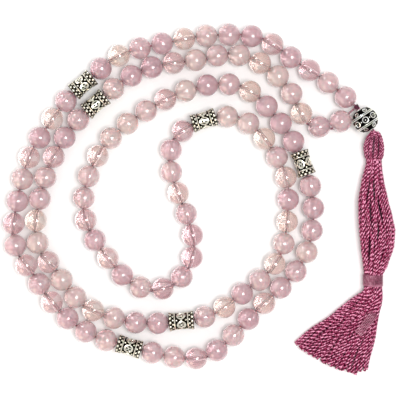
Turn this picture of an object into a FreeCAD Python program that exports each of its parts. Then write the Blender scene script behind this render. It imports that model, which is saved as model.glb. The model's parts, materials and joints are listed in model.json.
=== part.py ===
# A 108-bead mala: rose quartz beads, six silver tube spacers, a silver guru bead and a silk
# tassel, laid flat as one closed strand in a folded spiral. Millimetres, +Z up, resting on z = 0.
import FreeCAD
import Part
import math
import os

os.makedirs("parts", exist_ok=True)
Vector = FreeCAD.Vector
UP = Vector(0, 0, 1)

# Beads, cord and spacers
bead_diameter = 8.0
bead_bore = 1.3
bore_chamfer = 0.25
bead_gap = 0.12
row_gap = 0.3
cord_diameter = 0.7
cord_slack = 1.006
cord_bend_reach = 1.2
spacer_length = 9.0
spacer_diameter = 6.8
spacer_waist = 5.6
spacer_bore = 1.5
spacer_rim = 1.5
spacer_end_gap = 0.12
beads_in_segment = [13, 14, 13, 28, 13, 14, 13]
single_segments = [0, 1, 6]

# Guru bead and the threads at it
guru_diameter = 9.4
guru_bore = 2.0
guru_band_height = 0.2
guru_band_width = 0.55
guru_bands = [-3.3, -1.5, 1.5, 3.3]
guru_heading = -56.5
guru_thread_diameter = 1.8
knot_diameter = 2.5
knot_length = 1.5
knot_cord_spread = 0.9
mouth_gap = 0.15
first_bead_offset = (-0.9, 0.85)
last_bead_offset = (-2.6, -2.1)
lower_knot_diameter = 2.4
hanger_thread = 0.7
hanger_clearance = 0.1
hanger_heading = -91.0
hanger_span = 184.0

# Tassel: stations down its length are (down, sideways, half width, half height, rise)
tassel_rest_height = 0.05
neck_clearance = 0.15
head_stations = [
    (1.4, 0.0, 2.7, 1.5, 0.0), (2.2, 0.0, 3.2, 2.3, 0.0), (3.4, -0.1, 3.6, 3.2, 0.0),
    (5.5, 0.0, 3.8, 3.7, 0.0), (8.0, 0.1, 3.7, 3.6, 0.0), (9.4, 0.1, 3.0, 2.9, 0.3)]
belly_stations = [
    (17.0, -0.4, 4.1, 3.5, 0.1), (24.6, -0.3, 5.6, 4.2, 0.0), (35.2, 1.1, 6.6, 4.4, 0.0),
    (41.0, 1.2, 6.1, 4.2, 0.0), (48.3, 0.5, 4.5, 3.7, 0.1)]
# Each wrap is (from, to, sideways, half width, half height)
neck_wrap = (9.4, 10.8, 0.1, 3.3, 3.2)
waist_wrap = (51.4, 56.1, -0.3, 3.75, 3.45)
wrap_thickness = 0.35
fringe_pivot = (60.1, -0.5)
fringe_top_radius = 3.8
fringe_length = 32.8
# Fringe stations add a turn of the section, in degrees, as the strands fan out
fringe_stations = [
    (56.0, -0.5, 3.7, 3.1, 0.0, 0.0), (62.3, -3.3, 7.0, 2.6, 0.0, 13.5),
    (70.3, -8.5, 10.1, 2.2, 0.0, 18.0), (79.4, -14.7, 13.3, 1.8, 0.0, 23.5),
    (87.0, -19.5, 15.5, 1.6, 0.0, 29.0)]

# Route of the strand in plan, chosen point by point: one stretch for each segment of beads,
# with a spacer's middle between two stretches
guru_centre = (60.3, 29.3)
route_stretches = [
    [(53.5, 37.5), (47, 43), (40, 47.5), (33, 52), (26.3, 56.8), (18.2, 60.4), (10.5, 60.3),
     (2, 60.1), (-6.3, 58.7), (-22.2, 55.4), (-30.1, 53), (-36.5, 47.8)],
    [(-49, 36), (-53, 29.5), (-58.3, 23.2), (-64.9, 7.6), (-66.3, -0.7), (-67.3, -9),
     (-67, -17.5), (-62.3, -24.7), (-54, -37.7), (-48, -43.2), (-34.1, -51.3)],
    [(-17.4, -56), (-9, -57), (-1, -58.4), (6.3, -55.2), (11.6, -50), (23.2, -38), (35, -26.5),
     (39.4, -19.5), (41, -11.5), (40.9, 4.8)],
    [(35.2, 21), (24.9, 34.2), (19, 39.8), (11.6, 42.5), (3.4, 42.2), (-12.7, 36.8), (-20, 32.4),
     (-33, 22.4), (-37.6, 16), (-40.8, 8.3), (-42, -7.5), (-38.1, -14.8), (-28, -27.4),
     (-21.6, -32), (-13.5, -32.5), (-6.6, -27.8), (-2.6, -21), (-2.7, -12.9), (-7.9, 2.6),
     (-10.3, 10.3), (-10.1, 18.3), (-7.1, 25)],
    [(9.5, 30.5), (17.3, 28), (27.5, 16.5), (31, 8.9), (31.5, -7.2), (30.4, -15.3), (27, -22.9),
     (15, -34), (8.6, -38.6), (1.3, -42.2)],
    [(-15.8, -44.5), (-31.7, -42), (-39.4, -39), (-45.6, -34), (-54.4, -21.9), (-58.7, -15),
     (-59, -7.3), (-55.7, 8.1), (-49, 22.6), (-44.6, 28.7)],
    [(-31.5, 40.2), (-25.4, 44.4), (-18.2, 47.7), (-1.8, 51), (6.5, 52.2), (15, 52.7), (22.3, 49),
     (29.1, 44.5), (34, 38), (37.5, 31.8), (44.1, 27.1), (51, 29.2)]]
spacer_places = [(-42.5, 42), (-25.6, -53.2), (37.5, 13.4), (2, 28.3), (-7.2, -43.6), (-38.2, 34.6)]
settle_rounds = 600
settle_tolerance = 0.002

bead_radius = bead_diameter / 2
spacer_radius = spacer_diameter / 2
guru_radius = guru_diameter / 2
cord_radius = cord_diameter / 2
lower_knot_radius = lower_knot_diameter / 2
item_radius = {"bead": bead_radius, "spacer": spacer_radius}
item_length = {"bead": bead_diameter + bead_gap, "spacer": spacer_length + 2 * spacer_end_gap}


def along(angle):
    """Unit vector in plan at an angle from +X, in degrees."""
    return Vector(math.cos(math.radians(angle)), math.sin(math.radians(angle)), 0)


def heading_of(direction):
    return math.degrees(math.atan2(direction.y, direction.x))


bore_axis = along(guru_heading)
bore_side = UP.cross(bore_axis)
knot_from_guru = guru_radius + mouth_gap + knot_length / 2
pivot_from_guru = guru_radius + mouth_gap + lower_knot_radius


def placed(shape, centre, heading):
    """A copy of a shape built along +X, turned to a heading in plan and moved to its centre."""
    copy = shape.copy()
    copy.rotate(Vector(0, 0, 0), UP, heading)
    copy.translate(centre)
    return copy


# Layout of the strand in plan
def strand_kinds():
    """Each item's kind in order from the guru bead, and the segment a bead belongs to."""
    items = []
    for segment, count in enumerate(beads_in_segment):
        items += [("bead", segment)] * count
        if segment < len(beads_in_segment) - 1:
            items.append(("spacer", segment))
    return items


def first_layout(kinds):
    """The points where items meet, spaced along the route, which is sized to the strand."""
    strand = sum(item_length[kind] for kind, _ in kinds)
    scale = 1.0
    for _ in range(6):
        knot = Vector(*guru_centre, 0) * scale - bore_axis * knot_from_guru
        spacers = [Vector(x, y, 0) * scale for x, y in spacer_places]
        points = [knot + Vector(*first_bead_offset, 0)]
        for i, stretch in enumerate(route_stretches):
            points += [Vector(x, y, 0) * scale for x, y in stretch] + spacers[i:i + 1]
        points.append(knot + Vector(*last_bead_offset, 0))
        route = Part.BSplineCurve()
        route.interpolate(points)
        scale *= strand * cord_slack / route.length()

    # Each segment's beads share the stretch of route between the spacers at its two ends
    half_spacer = item_length["spacer"] / 2
    stops = [0.0]
    stops += [route.length(route.FirstParameter, route.parameter(place)) for place in spacers]
    stops.append(route.length())
    joints = [points[0]]
    for segment, count in enumerate(beads_in_segment):
        start, end = stops[segment:segment + 2]
        lead = half_spacer if segment > 0 else 0.0
        tail = half_spacer if segment < len(spacers) else 0.0
        stretch = lead + count * item_length["bead"] + tail
        last = count + (1 if segment < len(spacers) else 0)
        for step in range(0 if segment > 0 else 1, last):
            reach = start + (end - start) * (lead + step * item_length["bead"]) / stretch
            joints.append(route.value(route.parameterAtDistance(reach)))
    joints.append(points[-1])
    return joints, Vector(*guru_centre, 0) * scale, knot


def shortfall(kind_a, a, axis_a, radius_a, kind_b, b, axis_b, radius_b, gap):
    """How much too near two items are, and the way to move the second one off the first."""
    offset = b - a
    size = radius_a + radius_b
    if "spacer" in (kind_a, kind_b) and kind_a != kind_b:
        axis = axis_a if kind_a == "spacer" else axis_b
        side = UP.cross(axis)
        reach = max(-spacer_length / 2, min(spacer_length / 2, offset.dot(axis)))
        drift = max(-spacer_radius, min(spacer_radius, offset.dot(side)))
        offset = offset - axis * reach - side * drift
        size = radius_b if kind_a == "spacer" else radius_a
    return size + gap - offset.Length, offset.normalize()


def settle(kinds, joints, obstacles):
    """Ease items apart until each clears the others, with the strand's two ends held."""
    count = len(kinds)
    ends = (joints[0], joints[count])
    near = 1.5 * max(item_length.values())

    def middle(i):
        return (joints[i] + joints[i + 1]) / 2

    pairs = [(i, j) for i in range(count) for j in range(i + 1, count)
             if (middle(i) - middle(j)).Length < near]
    for _ in range(settle_rounds):
        worst = 0.0
        axes = [(joints[i + 1] - joints[i]).normalize() for i in range(count)]
        for i, j in pairs:
            gap = bead_gap if j == i + 1 else row_gap
            short, way = shortfall(
                kinds[i][0], middle(i), axes[i], item_radius[kinds[i][0]],
                kinds[j][0], middle(j), axes[j], item_radius[kinds[j][0]], gap)
            if short > 0:
                worst = max(worst, short)
                step = way * (short / 2)
                joints[i] -= step
                joints[j + 1] += step
                if j > i + 1:
                    joints[i + 1] -= step
                    joints[j] += step
        for centre, radius in obstacles:
            for i in range(count):
                short, way = shortfall(
                    "ball", centre, None, radius,
                    kinds[i][0], middle(i), axes[i], item_radius[kinds[i][0]], bead_gap)
                if short > 0:
                    worst = max(worst, short)
                    joints[i] += way * short
                    joints[i + 1] += way * short
        joints[0], joints[count] = ends
        if worst < settle_tolerance:
            break
    print("strand settled, largest shortfall", round(worst, 4))
    return joints


# Shapes
def make_bead():
    """A ball with a through bore along X and a small chamfer at each mouth."""
    ball = Part.makeSphere(bead_radius)
    bore = Part.makeCylinder(bead_bore / 2, bead_diameter, Vector(-bead_radius, 0, 0), Vector(1, 0, 0))
    bead = ball.cut(bore)
    mouth = math.sqrt(bead_radius ** 2 - (bead_bore / 2) ** 2)
    for way in (-1, 1):
        cone = Part.makeCone(
            bead_bore / 2, bead_bore / 2 + 2 * bore_chamfer, 2 * bore_chamfer,
            Vector(way * (mouth - bore_chamfer), 0, 0), Vector(way, 0, 0))
        bead = bead.cut(cone)
    return bead


def make_spacer():
    """A cast tube turned about X: a doubled ring at each end and a narrower middle."""
    end = spacer_length / 2
    rim = spacer_radius
    waist = spacer_waist / 2
    half = [
        (end, spacer_bore / 2), (end, rim - 0.2), (end - 0.2, rim), (end - 0.6, rim),
        (end - 0.75, rim - 0.3), (end - 0.9, rim - 0.1), (end - spacer_rim, rim - 0.1),
        (end - spacer_rim - 0.4, waist)]
    outline = half + [(-x, r) for x, r in reversed(half)]
    wire = Part.makePolygon([Vector(x, 0, r) for x, r in outline + outline[:1]])
    return Part.Face(wire).revolve(Vector(0, 0, 0), Vector(1, 0, 0), 360)


def make_guru():
    """A ball bored along X, with raised bands round it square to the bore: one turned outline."""
    def at(radius, x):
        return Vector(x, 0, math.sqrt(radius ** 2 - x ** 2))

    def arc(radius, start, end):
        return Part.Arc(at(radius, start), at(radius, (start + end) / 2), at(radius, end)).toShape()

    plain = guru_radius - guru_band_height
    mouth = math.sqrt(plain ** 2 - (guru_bore / 2) ** 2)
    edges = []
    x = -mouth
    for place in guru_bands:
        start, end = place - guru_band_width / 2, place + guru_band_width / 2
        edges += [
            arc(plain, x, start), Part.makeLine(at(plain, start), at(guru_radius, start)),
            arc(guru_radius, start, end), Part.makeLine(at(guru_radius, end), at(plain, end))]
        x = end
    edges += [arc(plain, x, mouth), Part.makeLine(at(plain, mouth), at(plain, -mouth))]
    return Part.Face(Part.Wire(edges)).revolve(Vector(0, 0, 0), Vector(1, 0, 0), 360)


def rounded_path(points, reach):
    """Straight runs through the points, joined by tangent arcs that start a reach from each."""
    edges = []
    start = points[0]
    radii = []
    for before, corner, after in zip(points, points[1:], points[2:]):
        back = (before - corner).normalize()
        ahead = (after - corner).normalize()
        turn = math.pi - back.getAngle(ahead)
        if turn < 1e-4:
            continue
        cut = min(reach, 0.45 * min((before - corner).Length, (after - corner).Length))
        radius = cut / math.tan(turn / 2)
        radii.append(radius)
        bisector = (back + ahead).normalize()
        inset = radius / math.cos(turn / 2) - radius
        edges.append(Part.makeLine(start, corner + back * cut))
        edges.append(Part.Arc(corner + back * cut, corner + bisector * inset, corner + ahead * cut).toShape())
        start = corner + ahead * cut
    edges.append(Part.makeLine(start, points[-1]))
    print("cord bends: smallest radius", round(min(radii), 2), "largest", round(max(radii), 1))
    return Part.Wire(edges)


def make_cord(points):
    path = rounded_path(points, cord_bend_reach)
    first_way = (points[1] - points[0]).normalize()
    section = Part.Wire(Part.makeCircle(cord_radius, points[0], first_way))
    cord = path.makePipeShell([section], True, False)
    expected = math.pi * cord_radius ** 2 * path.Length
    print("cord length", round(path.Length, 2), "volume over section times length",
          round(cord.Volume / expected, 5))
    return cord


def oval(pivot, down, sideways, half_width, half_height, rise=0.0, turn=0.0):
    """An ellipse across the tassel at a station, level with the guru bead at first and then
    lying down, and turned in plan where the strands fan."""
    height = max(half_height + rise + tassel_rest_height, guru_radius - 0.2 * down)
    centre = Vector(pivot.x + sideways, pivot.y - down, height)
    across = along(-turn)
    ellipse = Part.Ellipse(centre + across * half_width, centre + UP * half_height, centre)
    return Part.Wire(ellipse.toShape())


def tassel_loft(pivot, stations):
    return Part.makeLoft([oval(pivot, *station) for station in stations], True, False)


def inside_wrap(wrap, down):
    """The station of the gathered threads where a wrap binds them."""
    _, _, sideways, half_width, half_height = wrap
    return down, sideways, half_width - wrap_thickness, half_height - wrap_thickness, wrap_thickness


def wrap_core(pivot, wrap):
    return Part.Face(oval(pivot, *inside_wrap(wrap, wrap[0]))).extrude(Vector(0, wrap[0] - wrap[1], 0))


def make_wrap(pivot, wrap):
    start, end, sideways, half_width, half_height = wrap
    outside = Part.Face(oval(pivot, start, sideways, half_width, half_height))
    return outside.extrude(Vector(0, start - end, 0)).cut(wrap_core(pivot, wrap))


def make_tassel_body(pivot):
    """The gathered threads: straight through both wraps, swelling between them."""
    stations = [inside_wrap(neck_wrap, neck_wrap[1])] + belly_stations
    stations.append(inside_wrap(waist_wrap, waist_wrap[0]))
    belly = tassel_loft(pivot, stations)
    return belly.fuse([wrap_core(pivot, neck_wrap), wrap_core(pivot, waist_wrap)])


def make_fringe(pivot):
    """The fan of loose strands: rounded where it leaves the waist, cut to one length below."""
    fan = tassel_loft(pivot, fringe_stations)
    turning = pivot + Vector(fringe_pivot[1], -fringe_pivot[0], -pivot.z)
    cut_ends = Part.makeCylinder(fringe_length - fringe_top_radius, pivot.z * 2, turning)
    upper = Part.makeBox(
        4 * fringe_length, 2 * fringe_top_radius, pivot.z * 2,
        turning + Vector(-2 * fringe_length, 0, 0))
    rounded_top = Part.makeCylinder(fringe_top_radius, pivot.z * 2, turning)
    return fan.common(cut_ends).cut(upper.cut(rounded_top))


def make_hanger(pivot):
    """A thread loop part way round the lower knot, open on the guru bead's side."""
    middle = lower_knot_radius + hanger_clearance + hanger_thread / 2
    start = along(hanger_heading - hanger_span / 2)
    circle = Part.makeCircle(hanger_thread / 2, pivot + start * middle, UP.cross(start))
    return Part.Face(Part.Wire(circle)).revolve(pivot, UP, hanger_span)


def build():
    """Every node by name, and the places and axes that its joints turn on."""
    kinds = strand_kinds()
    joints, guru, knot = first_layout(kinds)
    joints = settle(kinds, joints, [(guru, guru_radius), (knot, knot_diameter / 2)])
    lift = UP * bead_radius
    level = UP * guru_radius
    pivot = guru + bore_axis * pivot_from_guru + level
    nodes = {}
    spins = {}

    spread = bore_side * (knot_cord_spread / 2)
    cord_points = [knot + spread] + joints + [knot - spread]
    nodes["stringing_cord"] = make_cord([point + lift for point in cord_points])

    barrel_start = knot + level - bore_axis * (knot_length / 2)
    barrel = Part.makeCylinder(knot_diameter / 2, knot_length, barrel_start, bore_axis)
    barrel = barrel.makeFillet(0.5, barrel.Edges[0:1] + barrel.Edges[2:3])
    nodes["strand_knot"] = barrel.cut(nodes["stringing_cord"])
    lower_knot = Part.makeSphere(lower_knot_radius, pivot)
    thread_start = knot + level + bore_axis * (knot_length / 2)
    thread_length = (pivot - thread_start).Length - lower_knot_radius / 2
    thread = Part.makeCylinder(guru_thread_diameter / 2, thread_length, thread_start, bore_axis)
    nodes["guru_thread"] = thread.fuse(lower_knot)
    nodes["guru_bead"] = placed(make_guru(), guru + level, guru_heading)
    spins["guru_bead"] = (guru + level, bore_axis)

    bead = make_bead()
    spacer = make_spacer()
    groups = {}
    number = [0, 0]
    for i, (kind, segment) in enumerate(kinds):
        centre = (joints[i] + joints[i + 1]) / 2 + lift
        axis = (joints[i + 1] - joints[i]).normalize()
        shape = placed(bead if kind == "bead" else spacer, centre, heading_of(axis))
        number[kind == "spacer"] += 1
        if kind == "spacer":
            name = "spacer_bead_%d" % number[1]
        elif segment in single_segments:
            name = "quartz_bead_%03d" % number[0]
        else:
            groups.setdefault("quartz_beads_segment_%d" % (segment + 1), []).append(shape)
            continue
        nodes[name] = shape
        spins[name] = (centre, axis)
    for name, shapes in groups.items():
        nodes[name] = Part.makeCompound(shapes)

    seat = Part.makeSphere(lower_knot_radius + hanger_clearance + hanger_thread + neck_clearance, pivot)
    nodes["tassel_hanger"] = make_hanger(pivot)
    nodes["tassel_head"] = tassel_loft(pivot, head_stations).cut(seat)
    nodes["tassel_neck_wrap"] = make_wrap(pivot, neck_wrap)
    nodes["tassel_body"] = make_tassel_body(pivot)
    nodes["tassel_waist_wrap"] = make_wrap(pivot, waist_wrap)
    nodes["tassel_fringe"] = make_fringe(pivot)
    turning = pivot + Vector(fringe_pivot[1], -fringe_pivot[0], 0)
    spins["tassel_pivot"] = (pivot, UP)
    spins["fringe_pivot"] = (turning, UP)
    return nodes, spins


nodes, spins = build()
box = Part.makeCompound(list(nodes.values())).optimalBoundingBox(False, False)
to_origin = Vector(-box.Center.x, -box.Center.y, 0)
print("overall", round(box.XLength, 1), round(box.YLength, 1), round(box.ZLength, 1),
      "lowest", round(box.ZMin, 3))
for name, shape in nodes.items():
    shape.translate(to_origin)
    shape.exportStep("parts/" + name + ".step")
print(len(nodes), "nodes")
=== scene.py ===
import json
import math
import random

import bmesh
import bpy
from mathutils import Matrix, Vector, noise


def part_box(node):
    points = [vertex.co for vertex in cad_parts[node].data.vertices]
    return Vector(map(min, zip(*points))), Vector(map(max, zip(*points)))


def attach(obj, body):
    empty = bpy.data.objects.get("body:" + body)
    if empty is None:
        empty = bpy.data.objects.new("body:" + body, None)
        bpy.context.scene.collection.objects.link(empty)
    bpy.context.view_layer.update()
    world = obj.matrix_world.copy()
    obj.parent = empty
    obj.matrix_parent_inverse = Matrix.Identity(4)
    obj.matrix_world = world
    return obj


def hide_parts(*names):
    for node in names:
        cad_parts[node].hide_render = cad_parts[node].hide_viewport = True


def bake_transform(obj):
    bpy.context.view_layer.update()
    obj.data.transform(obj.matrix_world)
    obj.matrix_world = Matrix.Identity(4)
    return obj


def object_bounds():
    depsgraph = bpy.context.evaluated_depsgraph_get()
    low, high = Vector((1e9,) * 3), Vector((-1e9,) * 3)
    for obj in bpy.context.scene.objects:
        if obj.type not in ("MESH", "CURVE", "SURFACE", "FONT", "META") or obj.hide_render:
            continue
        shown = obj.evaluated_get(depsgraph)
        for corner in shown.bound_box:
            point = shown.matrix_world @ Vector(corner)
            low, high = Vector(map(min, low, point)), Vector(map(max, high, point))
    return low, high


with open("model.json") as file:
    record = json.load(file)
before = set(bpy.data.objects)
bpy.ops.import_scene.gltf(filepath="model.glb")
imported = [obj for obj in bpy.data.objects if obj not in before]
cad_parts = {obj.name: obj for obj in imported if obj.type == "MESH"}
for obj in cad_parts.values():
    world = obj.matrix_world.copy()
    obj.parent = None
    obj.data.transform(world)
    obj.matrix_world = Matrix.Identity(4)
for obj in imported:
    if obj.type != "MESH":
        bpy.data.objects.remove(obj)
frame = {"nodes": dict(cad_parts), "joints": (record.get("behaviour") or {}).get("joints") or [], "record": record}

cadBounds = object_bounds()
mm = 0.001
weldReach = 1e-7  # points nearer than this are one point
up = Vector((0, 0, 1))
nodes = frame["nodes"]
joints = {joint["name"]: joint for joint in frame["joints"]}
bodies = frame["record"]["behaviour"]["bodies"]
bodyOf = {node: body for body, members in bodies.items() for node in members}
scene = bpy.context.scene
bpy.ops.object.select_all(action="DESELECT")


def linearColour(code):
    parts = [int(code[i:i + 2], 16) / 255 for i in (1, 3, 5)]
    return [c / 12.92 if c <= 0.04045 else ((c + 0.055) / 1.055) ** 2.4 for c in parts] + [1.0]


def addNode(tree, kind, values=None, links=None, stops=None, **settings):
    node = tree.nodes.new(kind)
    for name, value in settings.items():
        setattr(node, name, value)
    for socket, value in (values or {}).items():
        node.inputs[socket].default_value = value
    for socket, source in (links or {}).items():
        tree.links.new(source, node.inputs[socket])
    if stops:  # a colour ramp's places and colours
        ramp = node.color_ramp.elements
        while len(ramp) < len(stops):
            ramp.new(0.5)
        for element, (position, code) in zip(ramp, stops):
            element.position = position
            element.color = linearColour(code)
    return node


def newMaterial(name):
    material = bpy.data.materials.new(name)
    material.use_nodes = True
    tree = material.node_tree
    return material, tree, tree.nodes["Principled BSDF"]


def clamped(value):
    return min(1.0, max(0.0, value))


def smoothStep(share):
    return share * share * (3 - 2 * share)


def selectWhere(kind, wanted):
    # picks the verts or edges of the active mesh that are wanted
    mesh = bmesh.from_edit_mesh(bpy.context.active_object.data)
    bpy.ops.mesh.select_mode(type={"verts": "VERT", "edges": "EDGE"}[kind])
    bpy.ops.mesh.select_all(action="DESELECT")
    for item in getattr(mesh, kind):
        item.select = wanted(item)
    mesh.select_flush_mode()
    bmesh.update_edit_mesh(bpy.context.active_object.data)


def startEditing():
    bpy.ops.object.mode_set(mode="EDIT")
    bpy.ops.mesh.select_all(action="DESELECT")


def recalculateNormals():
    bpy.ops.mesh.select_all(action="SELECT")
    bpy.ops.mesh.normals_make_consistent(inside=False)
    bpy.ops.object.mode_set(mode="OBJECT")


def smoothByAngle(piece, degrees):
    bpy.context.view_layer.objects.active = piece
    piece.select_set(True)
    bpy.ops.object.shade_smooth_by_angle(angle=math.radians(degrees))
    piece.select_set(False)


def takeActive(name):
    piece = bpy.context.active_object
    piece.name = piece.data.name = name
    piece.select_set(False)
    return piece


def meshCopy(source, name, place):
    piece = bpy.data.objects.new(name, source.data.copy())
    piece.data.transform(place)
    scene.collection.objects.link(piece)
    return piece


def joinPieces(pieces, name):
    bpy.ops.object.select_all(action="DESELECT")
    for piece in pieces:
        piece.select_set(True)
    bpy.context.view_layer.objects.active = pieces[0]
    if len(pieces) > 1:
        bpy.ops.object.join()
    return takeActive(name)


def standing(axis, centre):
    # turns +Z to an axis and moves the origin to a centre
    return Matrix.Translation(centre) @ axis.to_track_quat("Z", "Y").to_matrix().to_4x4()


def setAttribute(piece, name, values):
    attribute = piece.data.attributes.new(name, "FLOAT", "POINT")
    attribute.data.foreach_set("value", values)


def finishPiece(piece, body, slot, replaced, *materials):
    piece.data.materials.clear()
    for material in materials:
        piece.data.materials.append(material)
    if body:
        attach(piece, body)
    if replaced:
        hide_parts(*replaced)
    return piece


# the camera looks straight down on the strand
studio = {
    "lens": 100.0, "sensor": 36.0, "frameWidth": 146.6 * mm, "aim": Vector((0.44, 0.0, 4.0)) * mm,
    "clipStart": 0.01, "worldColour": "#FFFFFF", "worldStrength": 0.80,
    "floorSize": 3.0, "floorGap": 0.02 * mm, "floorColour": "#FBFAF9", "floorRoughness": 0.9,
    # each lamp's place, size, power and colour
    "lamps": {"key": (Vector((0.10, -0.02, 0.48)), 0.20, 1.3, "#FFFFFF"),
              "fill": (Vector((-0.30, 0.40, 0.22)), 0.10, 0.35, "#FFFFFF"),
              "warm": (Vector((-0.36, -0.42, 0.16)), 0.30, 0.6, "#FFE6CC")},
}

cameraHeight = studio["lens"] / studio["sensor"] * studio["frameWidth"]
bpy.ops.object.camera_add(location=studio["aim"] + up * cameraHeight, rotation=(0, 0, 0))
camera = takeActive("camera")
camera.data.lens = studio["lens"]
camera.data.sensor_width = studio["sensor"]
camera.data.clip_start = studio["clipStart"]
scene.camera = camera
scene.view_settings.view_transform = "Standard"

floorHeight = cadBounds[0].z - studio["floorGap"]
bpy.ops.mesh.primitive_plane_add(size=studio["floorSize"], location=(0, 0, floorHeight))
floor = takeActive("studioFloor")
floorPaint, tree, shader = newMaterial("matteWhitePaper")  # even and pale, with no gloss
shader.inputs["Base Color"].default_value = linearColour(studio["floorColour"])
shader.inputs["Roughness"].default_value = studio["floorRoughness"]
floor.data.materials.append(floorPaint)

world = bpy.data.worlds.new("studioWorld")
scene.world = world
world.use_nodes = True
daylight = world.node_tree.nodes["Background"]
daylight.inputs["Color"].default_value = linearColour(studio["worldColour"])
daylight.inputs["Strength"].default_value = studio["worldStrength"]

for lamp, (place, size, power, colour) in studio["lamps"].items():
    aim = (-place).to_track_quat("-Z", "Y").to_euler()
    bpy.ops.object.light_add(type="AREA", location=place, rotation=aim)
    light = takeActive(lamp + "Light")
    light.data.shape = "DISK"
    light.data.size = size
    light.data.energy = power
    light.data.color = linearColour(colour)[:3]
print("camera, floor and light are up")


# 108 rose quartz beads, milky ones with clouded and clear ones among them
quartz = {
    "radius": 4.09 * mm, "segments": 36, "rings": 20, "chamfer": 0.25 * mm, "chamferSteps": 2,
    "poleReach": 0.1 * mm, "mouthMargin": 1.05, "mouthShare": 0.985, "smoothAngle": 50,
    "unevenness": 0.010, "unevenSize": 3.2 * mm, "unevenShift": (0.37, 0.11), "skinShare": 0.9,
    "veilSize": 3.4 * mm, "veilSwirl": 1.4, "fleckSize": 0.7 * mm, "fleckShare": 0.15,
    "toneShare": 0.45, "toneRange": (0.0, 0.9), "polishGrain": 0.25 * mm, "polishDepth": 0.02 * mm,
    "clearNumbers": (3, 12, 15, 17, 24, 52, 57, 62, 63, 65, 71, 75, 77, 85, 90),
    "halfClearNumbers": (5, 9, 20, 22, 30, 34, 44, 48, 55, 60, 68, 73, 80, 88, 93, 99, 103, 106),
    # the spacer before each group of beads, and the number of its first bead
    "groups": {"quartz_beads_segment_3": ("spacer_bead_2", 28),
               "quartz_beads_segment_4": ("spacer_bead_3", 41),
               "quartz_beads_segment_5": ("spacer_bead_4", 69),
               "quartz_beads_segment_6": ("spacer_bead_5", 82)},
    "seed": 7, "seedStep": 1000,
}


def makeQuartzMaterial(name, look):
    # tumbled and polished rose quartz: pink veils in clearer stone under a wet gloss
    material, tree, shader = newMaterial(name)
    place = addNode(tree, "ShaderNodeTexCoord").outputs["Object"]
    tone = addNode(tree, "ShaderNodeAttribute", attribute_name="beadTone").outputs["Fac"]
    veilGrain = {"Scale": 1 / quartz["veilSize"], "Detail": 3.0, "Distortion": quartz["veilSwirl"]}
    veils = addNode(tree, "ShaderNodeTexNoise", veilGrain, {"Vector": place}).outputs["Fac"]
    flecks = addNode(tree, "ShaderNodeTexNoise", {"Scale": 1 / quartz["fleckSize"], "Detail": 2.0},
                     {"Vector": place}).outputs["Fac"]
    veiled = addNode(tree, "ShaderNodeMath", {1: look["veil"]}, {0: veils}, operation="MULTIPLY").outputs[0]
    toned = addNode(tree, "ShaderNodeMath", {1: quartz["toneShare"]}, {0: tone, 2: veiled},
                    operation="MULTIPLY_ADD").outputs[0]
    mixed = addNode(tree, "ShaderNodeMath", {1: quartz["fleckShare"]}, {0: flecks, 2: toned},
                    operation="MULTIPLY_ADD").outputs[0]
    body = addNode(tree, "ShaderNodeValToRGB", links={"Fac": mixed}, stops=look["colours"]).outputs["Color"]
    tree.links.new(body, shader.inputs["Base Color"])
    grain = addNode(tree, "ShaderNodeTexNoise", {"Scale": 1 / quartz["polishGrain"], "Detail": 1.0},
                    {"Vector": place}).outputs["Fac"]
    bump = addNode(tree, "ShaderNodeBump", {"Strength": 0.03, "Distance": quartz["polishDepth"]},
                   {"Height": grain}).outputs["Normal"]
    tree.links.new(bump, shader.inputs["Normal"])
    for socket, value in look["shader"].items():
        shader.inputs[socket].default_value = value
    return material


# cloudy pink right through, with a soft glow and no clear sight of the bore
milkyQuartz = makeQuartzMaterial("polishedMilkyRoseQuartz", {
    "veil": 0.85,
    "colours": [(0.28, "#D6AAB4"), (0.46, "#E5C0C8"), (0.66, "#EED0D4"), (0.90, "#F8E4DE")],
    "shader": {"Subsurface Weight": 0.7, "Subsurface Radius": (1.0, 0.62, 0.6), "Subsurface Scale": 1.8 * mm,
               "Transmission Weight": 0.7, "Roughness": 0.2, "IOR": 1.54, "Coat Weight": 1.0,
               "Coat Roughness": 0.05, "Coat IOR": 1.65},
})
# clouded stone, with the cord showing as a faint line
halfClearQuartz = makeQuartzMaterial("polishedCloudedRoseQuartz", {
    "veil": 0.9,
    "colours": [(0.28, "#DDB2BC"), (0.50, "#EAC9CF"), (0.70, "#F3D8D8"), (0.92, "#FBE6DE")],
    "shader": {"Subsurface Weight": 0.5, "Subsurface Radius": (1.0, 0.66, 0.62), "Subsurface Scale": 2.4 * mm,
               "Transmission Weight": 0.84, "Roughness": 0.12, "IOR": 1.54, "Coat Weight": 1.0,
               "Coat Roughness": 0.04, "Coat IOR": 1.6},
})
# pale and nearly clear, with the cord seen in it and its two halves lit apart
clearQuartz = makeQuartzMaterial("polishedClearRoseQuartz", {
    "veil": 0.7, "colours": [(0.30, "#E8C2CC"), (0.55, "#F3D8DA"), (0.80, "#FCEAE2")],
    "shader": {"Subsurface Weight": 0.4, "Subsurface Radius": (1.0, 0.7, 0.65), "Subsurface Scale": 3.0 * mm,
               "Transmission Weight": 0.88, "Roughness": 0.08, "IOR": 1.54, "Coat Weight": 1.0,
               "Coat Roughness": 0.02, "Coat IOR": 1.54},
})

bpy.ops.mesh.primitive_uv_sphere_add(segments=quartz["segments"], ring_count=quartz["rings"],
                                     radius=quartz["radius"])
beadMaster = takeActive("beadMaster")
bpy.context.view_layer.objects.active = beadMaster
mouthReach = quartz["radius"] * math.sin(math.pi / quartz["rings"]) * quartz["mouthMargin"]


def onMouth(edge):
    # true for the edges round the bore's two mouths
    first, second = edge.verts
    level = abs(abs(second.co.z) - abs(first.co.z)) < weldReach and first.co.z * second.co.z > 0
    return level and all(math.hypot(v.co.x, v.co.y) < mouthReach for v in edge.verts)


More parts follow.
